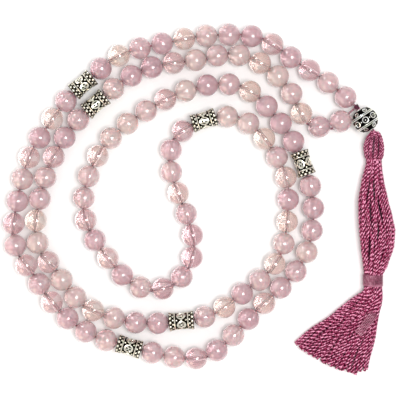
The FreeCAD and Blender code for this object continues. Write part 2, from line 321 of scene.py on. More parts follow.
startEditing()
selectWhere("verts", lambda vertex: math.hypot(vertex.co.x, vertex.co.y) < quartz["poleReach"])
bpy.ops.mesh.delete(type="VERT")
selectWhere("edges", lambda edge: edge.is_boundary)
bpy.ops.mesh.bridge_edge_loops()
selectWhere("edges", onMouth)
bpy.ops.mesh.bevel(offset=quartz["chamfer"], segments=quartz["chamferSteps"])
recalculateNormals()
smoothByAngle(beadMaster, quartz["smoothAngle"])


def makeBead(name, number, centre, axis):
    # one bead: the master, turned its own way on its bore and worn slightly out of round
    draw = random.Random(quartz["seed"] * quartz["seedStep"] + number)
    turn = Matrix.Rotation(draw.uniform(0, 2 * math.pi), 4, "Z")
    piece = meshCopy(beadMaster, name, standing(axis, centre) @ turn)
    shiftX, shiftY = quartz["unevenShift"]
    away = Vector((number * shiftX, number * shiftY, 0))
    for vertex in piece.data.vertices:
        out = vertex.co - centre
        wear = 0.5 + 0.5 * noise.noise(out / quartz["unevenSize"] + away)
        if out.length > quartz["skinShare"] * quartz["radius"]:
            vertex.co = centre + out * (1 - quartz["unevenness"] * wear)
    clearness = 2 if number in quartz["clearNumbers"] else int(number in quartz["halfClearNumbers"])
    tone = draw.uniform(*quartz["toneRange"])
    setAttribute(piece, "beadTone", [tone] * len(piece.data.vertices))
    for material in (milkyQuartz, halfClearQuartz, clearQuartz):
        piece.data.materials.append(material)
    for face in piece.data.polygons:
        face.material_index = clearness
    return piece


def beadPlaces(node):
    # the centre and the bore's direction of each bead in a node that groups several
    mesh = bmesh.new()
    mesh.from_mesh(nodes[node].data)
    bmesh.ops.remove_doubles(mesh, verts=mesh.verts, dist=weldReach)
    mesh.verts.index_update()
    left = set(mesh.verts)
    places = []
    while left:
        island, fresh = [], [left.pop()]
        while fresh:
            vertex = fresh.pop()
            island.append(vertex)
            for edge in vertex.link_edges:
                other = edge.other_vert(vertex)
                if other in left:
                    left.remove(other)
                    fresh.append(other)
        island.sort(key=lambda v: v.index)  # so that each run takes the bore the same way round
        low = Vector([min(v.co[i] for v in island) for i in range(3)])
        high = Vector([max(v.co[i] for v in island) for i in range(3)])
        centre = (low + high) / 2
        reach = max((v.co - centre).length for v in island)
        bore = [v.co - centre for v in island if (v.co - centre).length < quartz["mouthShare"] * reach]
        axis = sum((p if p.dot(bore[0]) > 0 else -p for p in bore), Vector())
        places.append((centre, axis.normalized()))
    mesh.free()
    return places


beadCentres = {}
for node in sorted(nodes):
    if node.startswith("quartz_bead_"):
        number = int(node[-3:])
        joint = joints[node + "_spin"]
        centre = Vector(joint["pos_m"])
        beadCentres[number] = centre
        bead = makeBead("roseQuartz_%03d" % number, number, centre, Vector(joint["axis"]))
        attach(bead, bodyOf[node])
        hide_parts(node)
for node, (before, firstNumber) in quartz["groups"].items():
    places = beadPlaces(node)
    last = Vector(joints[before + "_spin"]["pos_m"])
    copies = []
    while places:
        places.sort(key=lambda place: (place[0] - last).length)
        centre, axis = places.pop(0)
        number = firstNumber + len(copies)
        copies.append(makeBead("bead%03d" % number, number, centre, axis))
        beadCentres[number] = last = centre
    group = joinPieces(copies, "roseQuartz_" + node[-9:])
    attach(group, bodyOf[node])
    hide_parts(node)
print("rose quartz beads:", len(beadCentres))


# cast silver, shared by the guru bead and the spacers
silver = {
    "patinaSize": 1.6 * mm, "grainSize": 0.12 * mm, "grainDepth": 0.03 * mm, "wornSize": 0.5 * mm,
    "wornShare": 0.45, "modelWire": 0.2, "squat": 0.8, "smoothAngle": 45,
}


def makeSilverMaterial(name, look):
    # cast silver, darkened in the hollows and rubbed bright on the raised wires and grains
    material, tree, shader = newMaterial(name)
    place = addNode(tree, "ShaderNodeTexCoord").outputs["Object"]
    raised = addNode(tree, "ShaderNodeAttribute", attribute_name="raised").outputs["Fac"]
    patina = addNode(tree, "ShaderNodeTexNoise", {"Scale": 1 / silver["patinaSize"], "Detail": 3.0},
                     {"Vector": place}).outputs["Fac"]
    worn = addNode(tree, "ShaderNodeTexNoise", {"Scale": 1 / silver["wornSize"], "Detail": 2.0},
                   {"Vector": place}).outputs["Fac"]
    rubbed = addNode(tree, "ShaderNodeMath", {1: silver["wornShare"]}, {0: worn, 2: raised},
                     operation="MULTIPLY_ADD").outputs[0]
    metal = addNode(tree, "ShaderNodeValToRGB", links={"Fac": rubbed}, stops=look["metal"]).outputs["Color"]
    tarnish = addNode(tree, "ShaderNodeValToRGB", links={"Fac": patina}, stops=look["tarnish"])
    colour = addNode(tree, "ShaderNodeMix", {"Factor": 1.0}, {6: metal, 7: tarnish.outputs["Color"]},
                     data_type="RGBA", blend_type="MULTIPLY")
    tree.links.new(colour.outputs[2], shader.inputs["Base Color"])
    fromDullToBright = {"From Min": 0.2, "From Max": 1.2, "To Min": 0.62, "To Max": 0.2}
    gloss = addNode(tree, "ShaderNodeMapRange", fromDullToBright, {"Value": rubbed}).outputs[0]
    tree.links.new(gloss, shader.inputs["Roughness"])
    grain = addNode(tree, "ShaderNodeTexNoise", {"Scale": 1 / silver["grainSize"], "Detail": 2.0},
                    {"Vector": place}).outputs["Fac"]
    bump = addNode(tree, "ShaderNodeBump", {"Strength": 0.35, "Distance": silver["grainDepth"]},
                   {"Height": grain}).outputs["Normal"]
    tree.links.new(bump, shader.inputs["Normal"])
    shader.inputs["Metallic"].default_value = 1.0
    return material


# grey and brown in the deep scrollwork, yellowish white on the grains
spacerMetal = makeSilverMaterial("antiquedCastSilver", {
    "metal": [(0.20, "#0C0805"), (0.55, "#2E261C"), (0.90, "#B5AD9A"), (1.0, "#FBF8EF")],
    "tarnish": [(0.30, "#D3DAC8"), (0.50, "#FDFDFB"), (0.72, "#E8DFCC")]})
# near black between the wires, cool white on the rings
guruMetal = makeSilverMaterial("oxidisedCastSilver", {
    "metal": [(0.25, "#040304"), (0.60, "#171412"), (0.92, "#A8A399"), (1.0, "#FDFCF8")],
    "tarnish": [(0.30, "#C6CEBC"), (0.50, "#FBFBF7"), (0.72, "#D8E0EA")]})


def reliefRing(across, along, wire, corners=14, sides=6):
    # a raised oval wire, flat at the origin: x runs round the bead, y along it, z outward
    bpy.ops.mesh.primitive_torus_add(major_segments=corners, minor_segments=sides, major_radius=1.0,
                                     minor_radius=silver["modelWire"])
    piece = takeActive("ring")
    for vertex in piece.data.vertices:
        flat = Vector((vertex.co.x, vertex.co.y, 0))
        spine = flat.normalized()
        tube = vertex.co - spine
        vertex.co = Vector((spine.x * across, spine.y * along, 0)) + tube * (wire / silver["modelWire"])
    return piece


def reliefGrain(size, tall=1.0):
    # a cast granule, a squat drop with its foot sunk in the wall
    bpy.ops.mesh.primitive_uv_sphere_add(segments=8, ring_count=6, radius=size)
    piece = takeActive("grain")
    for vertex in piece.data.vertices:
        vertex.co = Vector((vertex.co.x, vertex.co.y * tall, vertex.co.z * silver["squat"]))
    return piece


def turnedShell(name, profile, sides, raisedAt):
    # a closed bored shell: a ring drawn along pairs of radius and height, and joined to its start
    bpy.ops.mesh.primitive_circle_add(vertices=sides, radius=profile[0][0], location=(0, 0, 0))
    piece = takeActive(name)
    bpy.context.view_layer.objects.active = piece
    piece.data.transform(Matrix.Translation((0, 0, profile[0][1])))
    startEditing()
    bpy.ops.mesh.select_mode(type="EDGE")
    bpy.ops.mesh.select_all(action="SELECT")
    for (radius, height), (nextRadius, nextHeight) in zip(profile, profile[1:] + profile[:1]):
        bpy.ops.mesh.extrude_edges_move(TRANSFORM_OT_translate={"value": (0, 0, nextHeight - height)})
        grow = nextRadius / radius
        bpy.ops.transform.resize(value=(grow, grow, 1), center_override=(0, 0, nextHeight))
    bpy.ops.mesh.select_all(action="SELECT")
    bpy.ops.mesh.remove_doubles(threshold=10 * weldReach)
    recalculateNormals()
    setAttribute(piece, "raised", [raisedAt(v.co) for v in piece.data.vertices])
    return piece


def wrapped(piece, surface, raisedLow, raisedHigh):
    # wraps flat relief round a bead: surface(y) gives the radius, the height and the outward tilt
    # there, and the girth radius that x runs round
    heights = [v.co.z for v in piece.data.vertices]
    low, high = min(heights), max(heights)
    middle = (low + high) / 2
    share = [max(0.0, (h - middle) / (high - middle)) for h in heights]
    setAttribute(piece, "raised", [raisedLow + (raisedHigh - raisedLow) * s for s in share])
    for vertex in piece.data.vertices:
        x, y, z = vertex.co
        radius, height, tilt, girth = surface(y)
        angle = x / girth
        out = radius + z * math.cos(tilt)
        vertex.co = Vector((out * math.cos(angle), out * math.sin(angle), height + z * math.sin(tilt)))
    return piece


def ringOfCopies(cell, count):
    # copies of a wrapped cell all round, without the cell itself
    copies = [meshCopy(cell, "copy", Matrix.Rotation(2 * math.pi * k / count, 4, "Z")) for k in range(count)]
    bpy.data.objects.remove(cell)
    return copies


def plainRing(name, radius, wire, corners, height, raisedAt):
    # a round wire that lies level round the bead at a height
    bpy.ops.mesh.primitive_torus_add(major_segments=corners, minor_segments=6, minor_radius=wire,
                                     major_radius=radius)
    ring = takeActive(name)
    ring.data.transform(Matrix.Translation((0, 0, height)))
    setAttribute(ring, "raised", [raisedAt(v.co) for v in ring.data.vertices])
    return ring


# the guru bead: a bored ball with raised wires, rings and granules
guru = {
    "floor": 4.48 * mm, "bore": 1.05 * mm, "sides": 48,
    "ringCount": 8, "ring": (1.04 * mm, 0.98 * mm, 0.28 * mm), "dot": 0.30 * mm,
    "outerRingCount": 6, "outerRing": (0.92 * mm, 0.66 * mm, 0.28 * mm), "outerPlace": 3.35 * mm,
    "wirePlaces": (1.66 * mm, 2.2 * mm), "wire": 0.19 * mm, "collarWire": 0.3 * mm, "collarRadius": 1.5 * mm,
    "wireLift": 1.6, "wireSpread": 1.06, "wireFade": 2.4, "collarPlace": 4.05 * mm,
    "linkGrain": 0.3 * mm, "linkTall": 1.4, "outerDotShare": 0.8, "profileSteps": 16, "turn": 8,
}


def onBall(y):
    lift = y / guru["floor"]
    return guru["floor"] * math.cos(lift), guru["floor"] * math.sin(lift), lift, guru["floor"]


def wireRaised(p):
    return 0.25 + 0.75 * clamped((p.length - guru["floor"]) / (guru["wireFade"] * guru["wire"]))


boreHeight = math.sqrt(guru["floor"] ** 2 - guru["bore"] ** 2)
startLift = math.asin(boreHeight / guru["floor"])
lifts = [startLift * (2 * k / guru["profileSteps"] - 1) for k in range(guru["profileSteps"] + 1)]
ballProfile = [(guru["floor"] * math.cos(lift), guru["floor"] * math.sin(lift)) for lift in lifts]
parts = [turnedShell("guruShell", ballProfile, guru["sides"], lambda p: 0.0)]
cell = joinPieces([reliefRing(*guru["ring"]), reliefGrain(guru["dot"])], "cell")
parts += ringOfCopies(wrapped(cell, onBall, 0.1, 1.0), guru["ringCount"])
link = wrapped(reliefGrain(guru["linkGrain"], guru["linkTall"]), onBall, 0.1, 0.9)
link.data.transform(Matrix.Rotation(math.pi / guru["ringCount"], 4, "Z"))
parts += ringOfCopies(link, guru["ringCount"])
for side in (-1, 1):
    outer = joinPieces([reliefRing(*guru["outerRing"]), reliefGrain(guru["dot"] * guru["outerDotShare"])],
                       "outer")
    outer.data.transform(Matrix.Translation((0, side * guru["outerPlace"], 0)))
    parts += ringOfCopies(wrapped(outer, onBall, 0.1, 0.95), guru["outerRingCount"])
    for place in guru["wirePlaces"]:
        radius, height, _, _ = onBall(place)
        parts.append(plainRing("wire", radius + guru["wire"] * guru["wireLift"], guru["wire"], 48,
                               side * height * guru["wireSpread"], wireRaised))
    parts.append(plainRing("collar", guru["collarRadius"], guru["collarWire"], 24,
                           side * guru["collarPlace"], lambda p: 0.8))
guruBead = joinPieces(parts, "guruBeadRelief")
guruJoint = joints["guru_bead_spin"]
guruCentre, guruAxis = Vector(guruJoint["pos_m"]), Vector(guruJoint["axis"])
guruTurn = Matrix.Rotation(math.radians(guru["turn"]), 4, "Z")
guruBead.data.transform(standing(guruAxis, guruCentre) @ guruTurn)
smoothByAngle(guruBead, silver["smoothAngle"])
finishPiece(guruBead, bodyOf["guru_bead"], "guru_silver", ["guru_bead"], guruMetal)
print("guru bead:", len(guruBead.data.polygons), "faces")


# the spacers: waisted tubes with granulated ends and scrollwork between
spacer = {
    "halfLength": 4.5 * mm, "bore": 0.75 * mm, "wall": 2.7 * mm, "endWall": 3.1 * mm, "sides": 32,
    "grainCount": 12, "grain": 0.58 * mm, "grainPlace": 3.98 * mm,
    "innerGrain": 0.44 * mm, "innerPlace": 3.02 * mm,
    "ringPlace": 2.42 * mm, "ringWire": 0.26 * mm, "ringRadius": 2.94 * mm,
    "frameCount": 5, "frame": (1.20 * mm, 1.55 * mm, 0.33 * mm), "curl": (0.50 * mm, 0.55 * mm, 0.26 * mm),
    "curlPlace": 0.62 * mm, "curlAside": 0.12 * mm, "curlLift": 0.05 * mm,
    "midGrain": 0.38 * mm, "midPlace": 1.7 * mm, "midLift": 0.1 * mm, "midShare": 0.9,
    "rim": 2.9 * mm, "shoulder": 3.2 * mm, "shoulderDepth": 0.3 * mm, "rimBand": 0.5 * mm,
    "wallStations": (-3.2, -2.4, -1.2, 0.0, 1.2, 2.4, 3.2), "firstTurn": 25, "turnStep": 37,
}


def onBarrel(y):
    flare = min(1.0, abs(y) / spacer["halfLength"]) ** 2
    radius = spacer["wall"] + (spacer["endWall"] - spacer["wall"]) * flare
    return radius, y, 0.0, spacer["wall"]


half = spacer["halfLength"]
rim, shoulder, shoulderAt = spacer["rim"], spacer["shoulder"], half - spacer["shoulderDepth"]
barrelProfile = [(spacer["bore"], -half), (rim, -half), (shoulder, -shoulderAt)]
barrelProfile += [(onBarrel(y * mm)[0], y * mm) for y in spacer["wallStations"]]
barrelProfile += [(shoulder, shoulderAt), (rim, half), (spacer["bore"], half)]
parts = [turnedShell("spacerShell", barrelProfile, spacer["sides"],
                     lambda p: 0.35 if abs(p.z) > half - spacer["rimBand"] else 0.0)]


def grainRing(size, tall, aside, place, brightest):
    # granules all round the barrel, at a place along it
    grain = reliefGrain(size, tall)
    grain.data.transform(Matrix.Translation((aside, place, 0)))
    return ringOfCopies(wrapped(grain, onBarrel, 0.1, brightest), spacer["grainCount"])


def ringRaised(p):
    return 0.2 + 0.75 * clamped((math.hypot(p.x, p.y) - spacer["ringRadius"]) / spacer["ringWire"])


halfStep = spacer["wall"] * math.pi / spacer["grainCount"]
for side in (-1, 1):
    parts += grainRing(spacer["grain"], 0.95, 0, side * spacer["grainPlace"], 1.0)
    parts += grainRing(spacer["innerGrain"], 1.1, halfStep, side * spacer["innerPlace"], 0.95)
    parts.append(plainRing("ring", spacer["ringRadius"], spacer["ringWire"], 36,
                           side * spacer["ringPlace"], ringRaised))
scroll = []
for side in (-1, 1):
    curl = reliefRing(*spacer["curl"], corners=10)
    curl.data.transform(Matrix.Translation((side * spacer["curlAside"], side * spacer["curlPlace"],
                                            spacer["curlLift"])))
    scroll.append(curl)
scroll.append(reliefRing(*spacer["frame"], corners=16))
frameCell = joinPieces(scroll, "frameCell")
parts += ringOfCopies(wrapped(frameCell, onBarrel, 0.1, 1.0), spacer["frameCount"])
between = []
for side in (-1, 1):
    dot = reliefGrain(spacer["midGrain"], 1.2)
    dot.data.transform(Matrix.Translation((0, side * spacer["midPlace"], spacer["midLift"])))
    between.append(dot)
middle = reliefGrain(spacer["midGrain"] * spacer["midShare"], 1.8)
middle.data.transform(Matrix.Translation((0, 0, spacer["midLift"])))
between.append(middle)
betweenCell = wrapped(joinPieces(between, "betweenCell"), onBarrel, 0.1, 0.95)
betweenCell.data.transform(Matrix.Rotation(math.pi / spacer["frameCount"], 4, "Z"))
parts += ringOfCopies(betweenCell, spacer["frameCount"])
spacerMaster = joinPieces(parts, "spacerMaster")
smoothByAngle(spacerMaster, silver["smoothAngle"])
for node in sorted(nodes):
    if node.startswith("spacer_bead_"):
        joint = joints[node + "_spin"]
        degrees = spacer["firstTurn"] + spacer["turnStep"] * int(node[-1])
        turn = Matrix.Rotation(math.radians(degrees), 4, "Z")
        place = standing(Vector(joint["axis"]), Vector(joint["pos_m"])) @ turn
        piece = meshCopy(spacerMaster, "spacerRelief_" + node[-1], place)
        finishPiece(piece, bodyOf[node], "spacer_silver", [node], spacerMetal)
print("spacer beads:", len(spacerMaster.data.polygons), "faces each")
bpy.data.objects.remove(spacerMaster)
bpy.data.objects.remove(beadMaster)


# two-ply thread: a profile with two lobes, twisted along each thread's path
thread = {
    "lobe": 0.56 * mm, "shoulder": 0.50 * mm, "waist": 0.37 * mm, "profileSteps": 8,
    "pitch": 3.2 * mm, "step": 0.3 * mm, "fluffDepth": 0.04 * mm,
}


def makeThreadMaterial(name, look):
    # dyed two-ply thread, with colour painted by light: a painted highlight pale on the crests, painted shade dark
    # where the plies meet, in lighter and darker clumps whose palest spots are painted glints
    material, tree, shader = newMaterial(name)
    place = addNode(tree, "ShaderNodeTexCoord")
    unrolled = addNode(tree, "ShaderNodeSeparateXYZ", links={"Vector": place.outputs["UV"]})
    turned = addNode(tree, "ShaderNodeMath", {1: 4 * math.pi}, {0: unrolled.outputs["Y"]},
                     operation="MULTIPLY").outputs[0]  # two crests round the thread
    wave = addNode(tree, "ShaderNodeMath", links={0: turned}, operation="COSINE").outputs[0]
    clumpsAndGlints = addNode(tree, "ShaderNodeTexNoise", {"Scale": 1 / look["clumpSize"], "Detail": 3.0},
                     {"Vector": place.outputs["Object"]}).outputs["Fac"]
    # the crests are painted pale and the grooves between the plies painted dark as the twist turns: painted
    # highlight and painted shade
    crestLightAndGrooveShade = addNode(tree, "ShaderNodeMapRange", {"From Min": -1.0}, {"Value": wave}).outputs[0]
    crestLightAndGrooveShade = addNode(tree, "ShaderNodeMath", {1: look["sharpness"]}, {0: crestLightAndGrooveShade}, operation="POWER").outputs[0]
    crestLightAndGrooveShade = addNode(tree, "ShaderNodeMath", {1: look["crestLightShare"]}, {0: crestLightAndGrooveShade},
                    operation="MULTIPLY").outputs[0]
    shade = addNode(tree, "ShaderNodeMath", {1: look["clumpShare"]}, {0: clumpsAndGlints, 2: crestLightAndGrooveShade},
                    operation="MULTIPLY_ADD").outputs[0]
    # the ramp's pale top is the painted glint and its dark bottom the painted shade
    colour = addNode(tree, "ShaderNodeValToRGB", links={"Fac": shade}, stops=look["colours"]).outputs["Color"]
    tree.links.new(colour, shader.inputs["Base Color"])
    fibres = addNode(tree, "ShaderNodeTexNoise", {"Scale": 1 / look["fibreSize"], "Detail": 2.0},
                     {"Vector": place.outputs["Object"]}).outputs["Fac"]
    bump = addNode(tree, "ShaderNodeBump", {"Strength": 0.25, "Distance": thread["fluffDepth"]},
                   {"Height": fibres}).outputs["Normal"]
    tree.links.new(bump, shader.inputs["Normal"])
    for socket, value in look["shader"].items():
        shader.inputs[socket].default_value = value
    return material


# mercerised crimson thread: silky, with small painted pink glints on its crests and painted shade in its grooves
silkThread = makeThreadMaterial("mercerisedCrimsonThread", {
    "clumpSize": 0.62 * mm, "fibreSize": 0.12 * mm,
    "sharpness": 1.3, "crestLightShare": 0.38, "clumpShare": 1.0,
    "colours": [(0.44, "#24000A"), (0.58, "#66052C"), (0.77, "#9C2054"), (0.91, "#FFB4D2")],
    "shader": {"Roughness": 0.42, "Specular IOR Level": 0.55, "Specular Tint": linearColour("#FFA8CC")},
})
# mauve wrapping thread: flatter, with a soft satin sheen from the shader, and a painted highlight on its crests
# and painted shade in its grooves
satinWrap = makeThreadMaterial("satinMauveWrap", {
    "clumpSize": 2.4 * mm, "fibreSize": 0.1 * mm,
    "sharpness": 0.8, "crestLightShare": 0.45, "clumpShare": 0.7,
    "colours": [(0.20, "#460A26"), (0.50, "#84304F"), (0.75, "#A85A76"), (0.95, "#E4A8BC")],
    "shader": {"Roughness": 0.34, "Sheen Weight": 0.1, "Sheen Tint": linearColour("#F0C0DA"),
               "Specular IOR Level": 0.8},
})
# crimson thread painted dark as shade, with no glints: the painted shade seen through the gaps into the bundles'
# cores; the closing knot takes the same dark colour
paintedShadeThread = makeThreadMaterial("packedCrimsonThread", {
    "clumpSize": 0.7 * mm, "fibreSize": 0.12 * mm,
    "sharpness": 1.0, "crestLightShare": 0.0, "clumpShare": 1.0,
    "colours": [(0.35, "#22000E"), (0.65, "#5E1038")],
    "shader": {"Roughness": 0.6},
})

# a wave texture's bands stand about bandStep / Scale apart
cordLook = {"plySpacing": 0.7 * mm, "bandStep": 0.3, "plyDepth": 0.06 * mm, "roughness": 0.5,
            "colours": [(0.1, "#642E3C"), (0.9, "#B07E8A")]}


def makeCordMaterial():
    # waxed nylon cord: dusty maroon, with slanting plies that show as faint stripes: painted shade in the grooves
    # between the plies and painted highlight on their tops
    material, tree, shader = newMaterial("waxedMaroonCord")
    place = addNode(tree, "ShaderNodeTexCoord").outputs["Object"]
    bands = {"Scale": cordLook["bandStep"] / cordLook["plySpacing"], "Distortion": 1.0}
    wave = addNode(tree, "ShaderNodeTexWave", bands, {"Vector": place}, bands_direction="DIAGONAL")
    pliesAndGrooveShade = wave.outputs["Fac"]
    # the ply pattern sets both the bump and the colour: dark in the grooves as painted shade, pale on the ply tops
    # as painted highlight
    colour = addNode(tree, "ShaderNodeValToRGB", links={"Fac": pliesAndGrooveShade}, stops=cordLook["colours"])
    tree.links.new(colour.outputs["Color"], shader.inputs["Base Color"])
    bump = addNode(tree, "ShaderNodeBump", {"Strength": 0.5, "Distance": cordLook["plyDepth"]},
                   {"Height": pliesAndGrooveShade})
    tree.links.new(bump.outputs["Normal"], shader.inputs["Normal"])
    shader.inputs["Roughness"].default_value = cordLook["roughness"]
    return material


waxedCord = makeCordMaterial()

plyData = bpy.data.curves.new("plyProfile", "CURVE")
plyData.dimensions = "2D"
plyRing = plyData.splines.new("POLY")
plyRing.points.add(thread["profileSteps"] - 1)
plyRing.use_cyclic_u = True
for k, point in enumerate(plyRing.points):
    reach = (thread["lobe"], thread["shoulder"], thread["waist"], thread["shoulder"])[k % 4]
    angle = k * 2 * math.pi / thread["profileSteps"]
    point.co = (reach * math.cos(angle), reach * math.sin(angle), 0, 1)
plyProfile = bpy.data.objects.new("plyProfile", plyData)
scene.collection.objects.link(plyProfile)


def makeThreads(name, routes, thickness=1.0, pitch=thread["pitch"]):
    # each route becomes one twisted two-ply thread: a list of points, or of (point, thickness) pairs
    data = bpy.data.curves.new(name, "CURVE")
    data.dimensions = "3D"
    data.bevel_mode = "OBJECT"
    data.bevel_object = plyProfile
    data.use_fill_caps = True
    for k, route in enumerate(routes):
        route = [item if isinstance(item, tuple) else (item, 1.0) for item in route]
        spline = data.splines.new("POLY")
        spline.points.add(len(route) - 1)
        travelled = 0.0
        start = random.Random(k).uniform(0, math.pi)  # no two neighbours' plies line up
        for i, (place, share) in enumerate(route):
            if i:
                travelled += (place - route[i - 1][0]).length
            spline.points[i].co = (*place, 1)
            spline.points[i].radius = thickness * share
            spline.points[i].tilt = 2 * math.pi * travelled / pitch + start
        spline.use_smooth = True
    piece = bpy.data.objects.new(name, data)
    scene.collection.objects.link(piece)
    bpy.context.view_layer.update()
    piece.select_set(True)
    bpy.context.view_layer.objects.active = piece
    bpy.ops.object.convert(target="MESH")
    return takeActive(name)


# the tassel, as bundles of real threads: sizes in millimetres, thicknesses as shares of the profile
tassel = {
    "seed": 21, "restHeight": 0.05, "guruRadius": 4.7, "guruSlope": 0.2, "leastRadius": 0.1, "easing": 0.4,
    # stations: down from the pivot, sideways, half width, half height, rise
    "head": [(-0.7, 0.2, 1.3, 0.75, 0.0), (0.0, 0.2, 2.1, 0.85, 0.0), (1.2, 0.0, 3.0, 1.3, 0.0),
             (2.4, 0.0, 3.4, 2.3, 0.0), (4.0, -0.1, 3.8, 3.4, 0.0), (5.8, 0.0, 3.9, 3.7, 0.0),
             (8.0, 0.1, 3.7, 3.5, 0.0), (9.7, 0.1, 2.95, 2.8, 0.35)],
    "belly": [(9.2, 0.1, 2.7, 2.7, 0.4), (10.8, 0.1, 2.95, 2.85, 0.35), (13.5, -0.2, 3.4, 3.1, 0.2),
              (17.0, -0.4, 4.1, 3.5, 0.1), (24.6, -0.3, 5.6, 4.2, 0.0), (30.5, 0.5, 6.3, 4.35, 0.0),
              (35.2, 1.1, 6.6, 4.4, 0.0), (41.0, 1.2, 6.1, 4.2, 0.0), (48.3, 0.5, 4.5, 3.7, 0.1),
              (51.4, -0.1, 3.5, 3.15, 0.3), (54.0, -0.3, 3.3, 3.0, 0.4)],
    # bundles: number of threads, from, to, depth under the section, twist, sway
    "outerBundle": (30, 9.3, 54.0, 0.55, 0.35, 0.10), "innerBundle": (18, 9.6, 53.6, 1.35, -0.3, 0.14),
    "headBundle": (34, -0.7, 9.7, 0.55, 0.30, 0.10), "headThickness": 0.66, "headPitch": 2.4,
    # cores: from, to, share of the section
    "bodyCore": (9.4, 55.6, 0.62), "headCore": (1.1, 9.8, 0.8),
    "coreSides": 20, "coreSteps": 18, "coreSmoothAngle": 60,
    # wraps: from, to, sideways, half width, half height
    "neckWrap": (9.35, 10.85, 0.1, 3.1, 3.05), "neckTurns": 2, "neckDepth": 0.5, "neckThickness": 0.62,
    "waistWrap": (51.4, 56.1, -0.3, 3.75, 3.45), "waistTurns": 11, "waistDepth": 0.24, "waistThickness": 0.40,
    "wrapStart": 2.2, "wrapSteps": 30,
}
# how each thread of a bundle strays from its own line
wander = {
    "aside": 0.05, "phase": 9, "rate": (0.8, 1.3), "level": (-0.28, 0.2), "endReach": 6, "waves": 0.21,
    "spacing": 0.78, "thinnest": 0.62, "thickest": 1.05,
}
swing = joints["tassel_swing"]
pivot = Vector(swing["pos_m"])
draw = random.Random(tassel["seed"])


def stationAt(stations, down):
    # the cross section at a place down the tassel, eased between its neighbours
    down = min(max(down, stations[0][0]), stations[-1][0])
    for before, after in zip(stations, stations[1:]):
        if down <= after[0]:
            share = (down - before[0]) / (after[0] - before[0])
            eased = smoothStep(share) * tassel["easing"] + share * (1 - tassel["easing"])
            return [a + (b - a) * eased for a, b in zip(before, after)]
    return list(stations[-1])


def tasselPoint(stations, down, angle, depth):
    # a point on the section: angle round it, and depth under its surface
    _, sideways, halfWidth, halfHeight, rise = stationAt(stations, down)
    height = max(halfHeight + rise + tassel["restHeight"], tassel["guruRadius"] - tassel["guruSlope"] * down)
    wide, high = max(halfWidth - depth, tassel["leastRadius"]), max(halfHeight - depth, tassel["leastRadius"])
    return Vector((pivot.x / mm + sideways + wide * math.cos(angle), pivot.y / mm - down,
                   height + high * math.sin(angle))) * mm


def strandsAlong(stations, count, start, end, depth, twist, sway):
    # threads side by side round the section, thinner and deeper where it crowds them
    routes = []
    steps = int((end - start) / (thread["step"] / mm))
    for k in range(count):
        first = 2 * math.pi * k / count + draw.uniform(-wander["aside"], wander["aside"])
        phase, rate = draw.uniform(0, wander["phase"]), draw.uniform(*wander["rate"])
        level = draw.uniform(*wander["level"])
        route = []
        for i in range(steps + 1):
            down = start + (end - start) * i / steps
            free = min(1.0, (down - start) / wander["endReach"], (end - down) / wander["endReach"])
            swayed = sway * free * math.sin(down * wander["waves"] * rate + phase)
            angle = first + twist * i / steps + swayed
            _, _, wide, high, _ = stationAt(stations, down)
            room = 2 * math.pi * math.sqrt((wide * wide + high * high) / 2)
            crowd = min(1.0, room / (count * wander["spacing"]))
            route.append((tasselPoint(stations, down, angle, depth * crowd + level * free),
                          max(wander["thinnest"], min(wander["thickest"], crowd))))
        routes.append(route)
    return routes


def makeCore(name, stations, start, end, share):
    # a plain body that fills a bundle, so that nothing shows through its gaps
    bpy.ops.mesh.primitive_circle_add(vertices=tassel["coreSides"], radius=1.0, fill_type="NGON")
    piece = takeActive(name)
    bpy.context.view_layer.objects.active = piece
    steps = tassel["coreSteps"]
    startEditing()
    for i in range(steps):
        bpy.ops.mesh.select_mode(type="FACE")
        if not i:
            bpy.ops.mesh.select_all(action="SELECT")
        bpy.ops.mesh.extrude_region_move(TRANSFORM_OT_translate={"value": (0, 0, 1.0)})
    bpy.ops.object.mode_set(mode="OBJECT")
    for vertex in piece.data.vertices:
        down = start + (end - start) * clamped(vertex.co.z / steps)
        _, _, wide, high, _ = stationAt(stations, down)
        angle = math.atan2(vertex.co.y, vertex.co.x)
        vertex.co = tasselPoint(stations, down, angle, (1 - share) * (wide + high) / 2)
    bpy.context.view_layer.objects.active = piece
    startEditing()
    recalculateNormals()
    smoothByAngle(piece, tassel["coreSmoothAngle"])
    return piece


belly, head = tassel["belly"], tassel["head"]
bellyThreads = makeThreads("tasselOuterThreads", strandsAlong(belly, *tassel["outerBundle"]))
finishPiece(bellyThreads, "tassel", "tassel_thread", ["tassel_body"], silkThread)
innerThreads = makeThreads("tasselInnerThreads", strandsAlong(belly, *tassel["innerBundle"]))
finishPiece(innerThreads, "tassel", "tassel_thread", [], silkThread)
bodyCore = makeCore("tasselBodyCore", belly, *tassel["bodyCore"])
# the body core's dark thread colour is painted shade, seen in the gaps between the threads
finishPiece(bodyCore, "tassel", "tassel_thread", [], paintedShadeThread)

headRoutes = strandsAlong(head, *tassel["headBundle"])
headThreads = makeThreads("tasselHeadThreads", headRoutes, tassel["headThickness"], tassel["headPitch"] * mm)
finishPiece(headThreads, "tassel", "tassel_thread", ["tassel_head"], silkThread)
headCore = makeCore("tasselHeadCore", head, *tassel["headCore"])
# the head core's dark thread colour is painted shade, seen in the gaps between the threads
finishPiece(headCore, "tassel", "tassel_thread", [], paintedShadeThread)


def coilRoute(wrap, turns, depth):
    # a thread wound round the tassel between a wrap's two edges
    start, end, sideways, wide, high = wrap
    stations = [(start, sideways, wide, high, 0.0), (end, sideways, wide, high, 0.0)]
    steps = turns * tassel["wrapSteps"]
    route = []
    for i in range(steps + 1):
        down = start + depth + (end - start - 2 * depth) * (i / steps)
        angle = 2 * math.pi * i / tassel["wrapSteps"] + tassel["wrapStart"]
        route.append(tasselPoint(stations, down, angle, depth))
    return route


